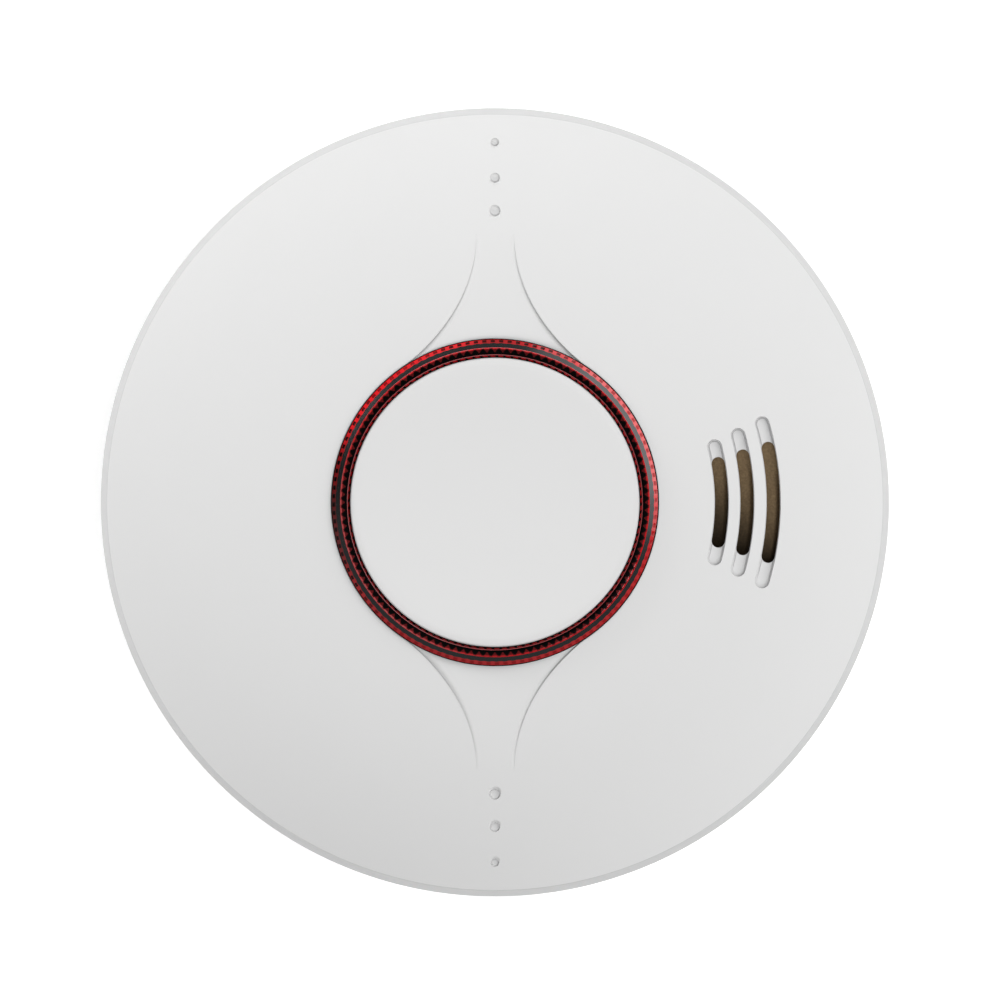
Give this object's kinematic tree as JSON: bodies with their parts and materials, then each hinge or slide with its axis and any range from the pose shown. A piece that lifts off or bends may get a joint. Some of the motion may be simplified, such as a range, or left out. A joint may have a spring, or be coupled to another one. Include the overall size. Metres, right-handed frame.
{
  "type": "smoke detector",
  "caption": "Round domed white ceiling smoke alarm with a large test button in a red light ring, curved sounder slots, side smoke inlets and a twist-lock bracket.",
  "frame": {"origin": "centre of the bracket's flat ceiling face, which is also the bottom of the bounding box as the alarm lies on its back", "axes": "+Z out of the ceiling face into the room, along the alarm's axis; +X through the middle of the sounder slots; the two rows of dimples run along Y"},
  "size_m": [0.102, 0.102, 0.0365],
  "materials": {
    "white_abs": "satin moulded ABS, white",
    "bracket_abs": "fine-textured moulded ABS, white",
    "red_lens": "translucent red acrylic with moulded prisms, over black",
    "black_abs": "matt black moulded plastic",
    "board_laminate": "green solder mask on glass-epoxy laminate",
    "zinc_steel": "zinc-plated or stainless steel",
    "piezo_brass": "rolled brass, slightly tarnished",
    "piezo_ceramic": null,
    "bronze_screen": "woven dust screen, dark bronze",
    "foam": "closed-cell foam, black",
    "cell_sleeve": null,
    "capacitor_can": "sleeved aluminium can",
    "chip_epoxy": "black moulded epoxy",
    "clear_epoxy": "clear moulded epoxy",
    "red_wire": "red PVC insulation over copper"
  },
  "bodies": {
    "bracket": {"mounting_bracket": "bracket_abs"},
    "test_button": {"test_button": "white_abs"},
    "switch_plunger": {"tact_switch_plunger": "black_abs"},
    "battery_door": {"battery_door": "white_abs"},
    "detector": {"rear_housing": "white_abs", "battery_1": "cell_sleeve", "battery_2": "cell_sleeve", "battery_spring_1": "zinc_steel", "battery_spring_2": "zinc_steel", "battery_link_contact": "zinc_steel", "battery_contact_positive": "zinc_steel", "battery_contact_negative": "zinc_steel", "inlet_grille": "white_abs", "front_cover": "white_abs", "ring_lens": "red_lens", "ring_retainer": "black_abs", "main_board": "board_laminate", "tact_switch_body": "black_abs", "ring_led_1": "clear_epoxy", "ring_led_2": "clear_epoxy", "microcontroller": "chip_epoxy", "capacitor": "capacitor_can", "boost_inductor": "chip_epoxy", "chamber_base": "black_abs", "chamber_cap": "black_abs", "insect_screen": "zinc_steel", "ir_emitter": "clear_epoxy", "photodiode": "chip_epoxy", "sounder_housing": "black_abs", "piezo_disc": "piezo_brass", "piezo_ceramic": "piezo_ceramic", "sounder_gasket": "foam", "piezo_lead_red": "red_wire", "piezo_lead_black": "black_abs", "sounder_dust_screen": "bronze_screen", "housing_screw_1": "zinc_steel", "board_screw_1": "zinc_steel", "housing_screw_2": "zinc_steel", "board_screw_2": "zinc_steel", "housing_screw_3": "zinc_steel", "board_screw_3": "zinc_steel"}
  },
  "joints": [
    {"name": "twist_lock", "type": "hinge", "parent": "bracket", "child": "detector", "pos_m": [0, 0, 0.003], "axis": [0, 0, 1], "range_deg": [0, 15]},
    {"name": "button_press", "type": "slide", "parent": "detector", "child": "test_button", "axis": [0, 0, -1], "range_m": [0, 0.0006], "stiffness_N_per_m": 2000, "springref_m": -0.0001},
    {"name": "plunger_press", "type": "slide", "parent": "detector", "child": "switch_plunger", "axis": [0, 0, -1], "range_m": [0, 0.0006]},
    {"name": "battery_door_hinge", "type": "hinge", "parent": "detector", "child": "battery_door", "pos_m": [0, 0.0114, 0.0038], "axis": [1, 0, 0], "range_deg": [0, 100]}
  ],
  "couplings": [
    {"joint": "plunger_press", "follows": "button_press", "ratio": 1}
  ]
}
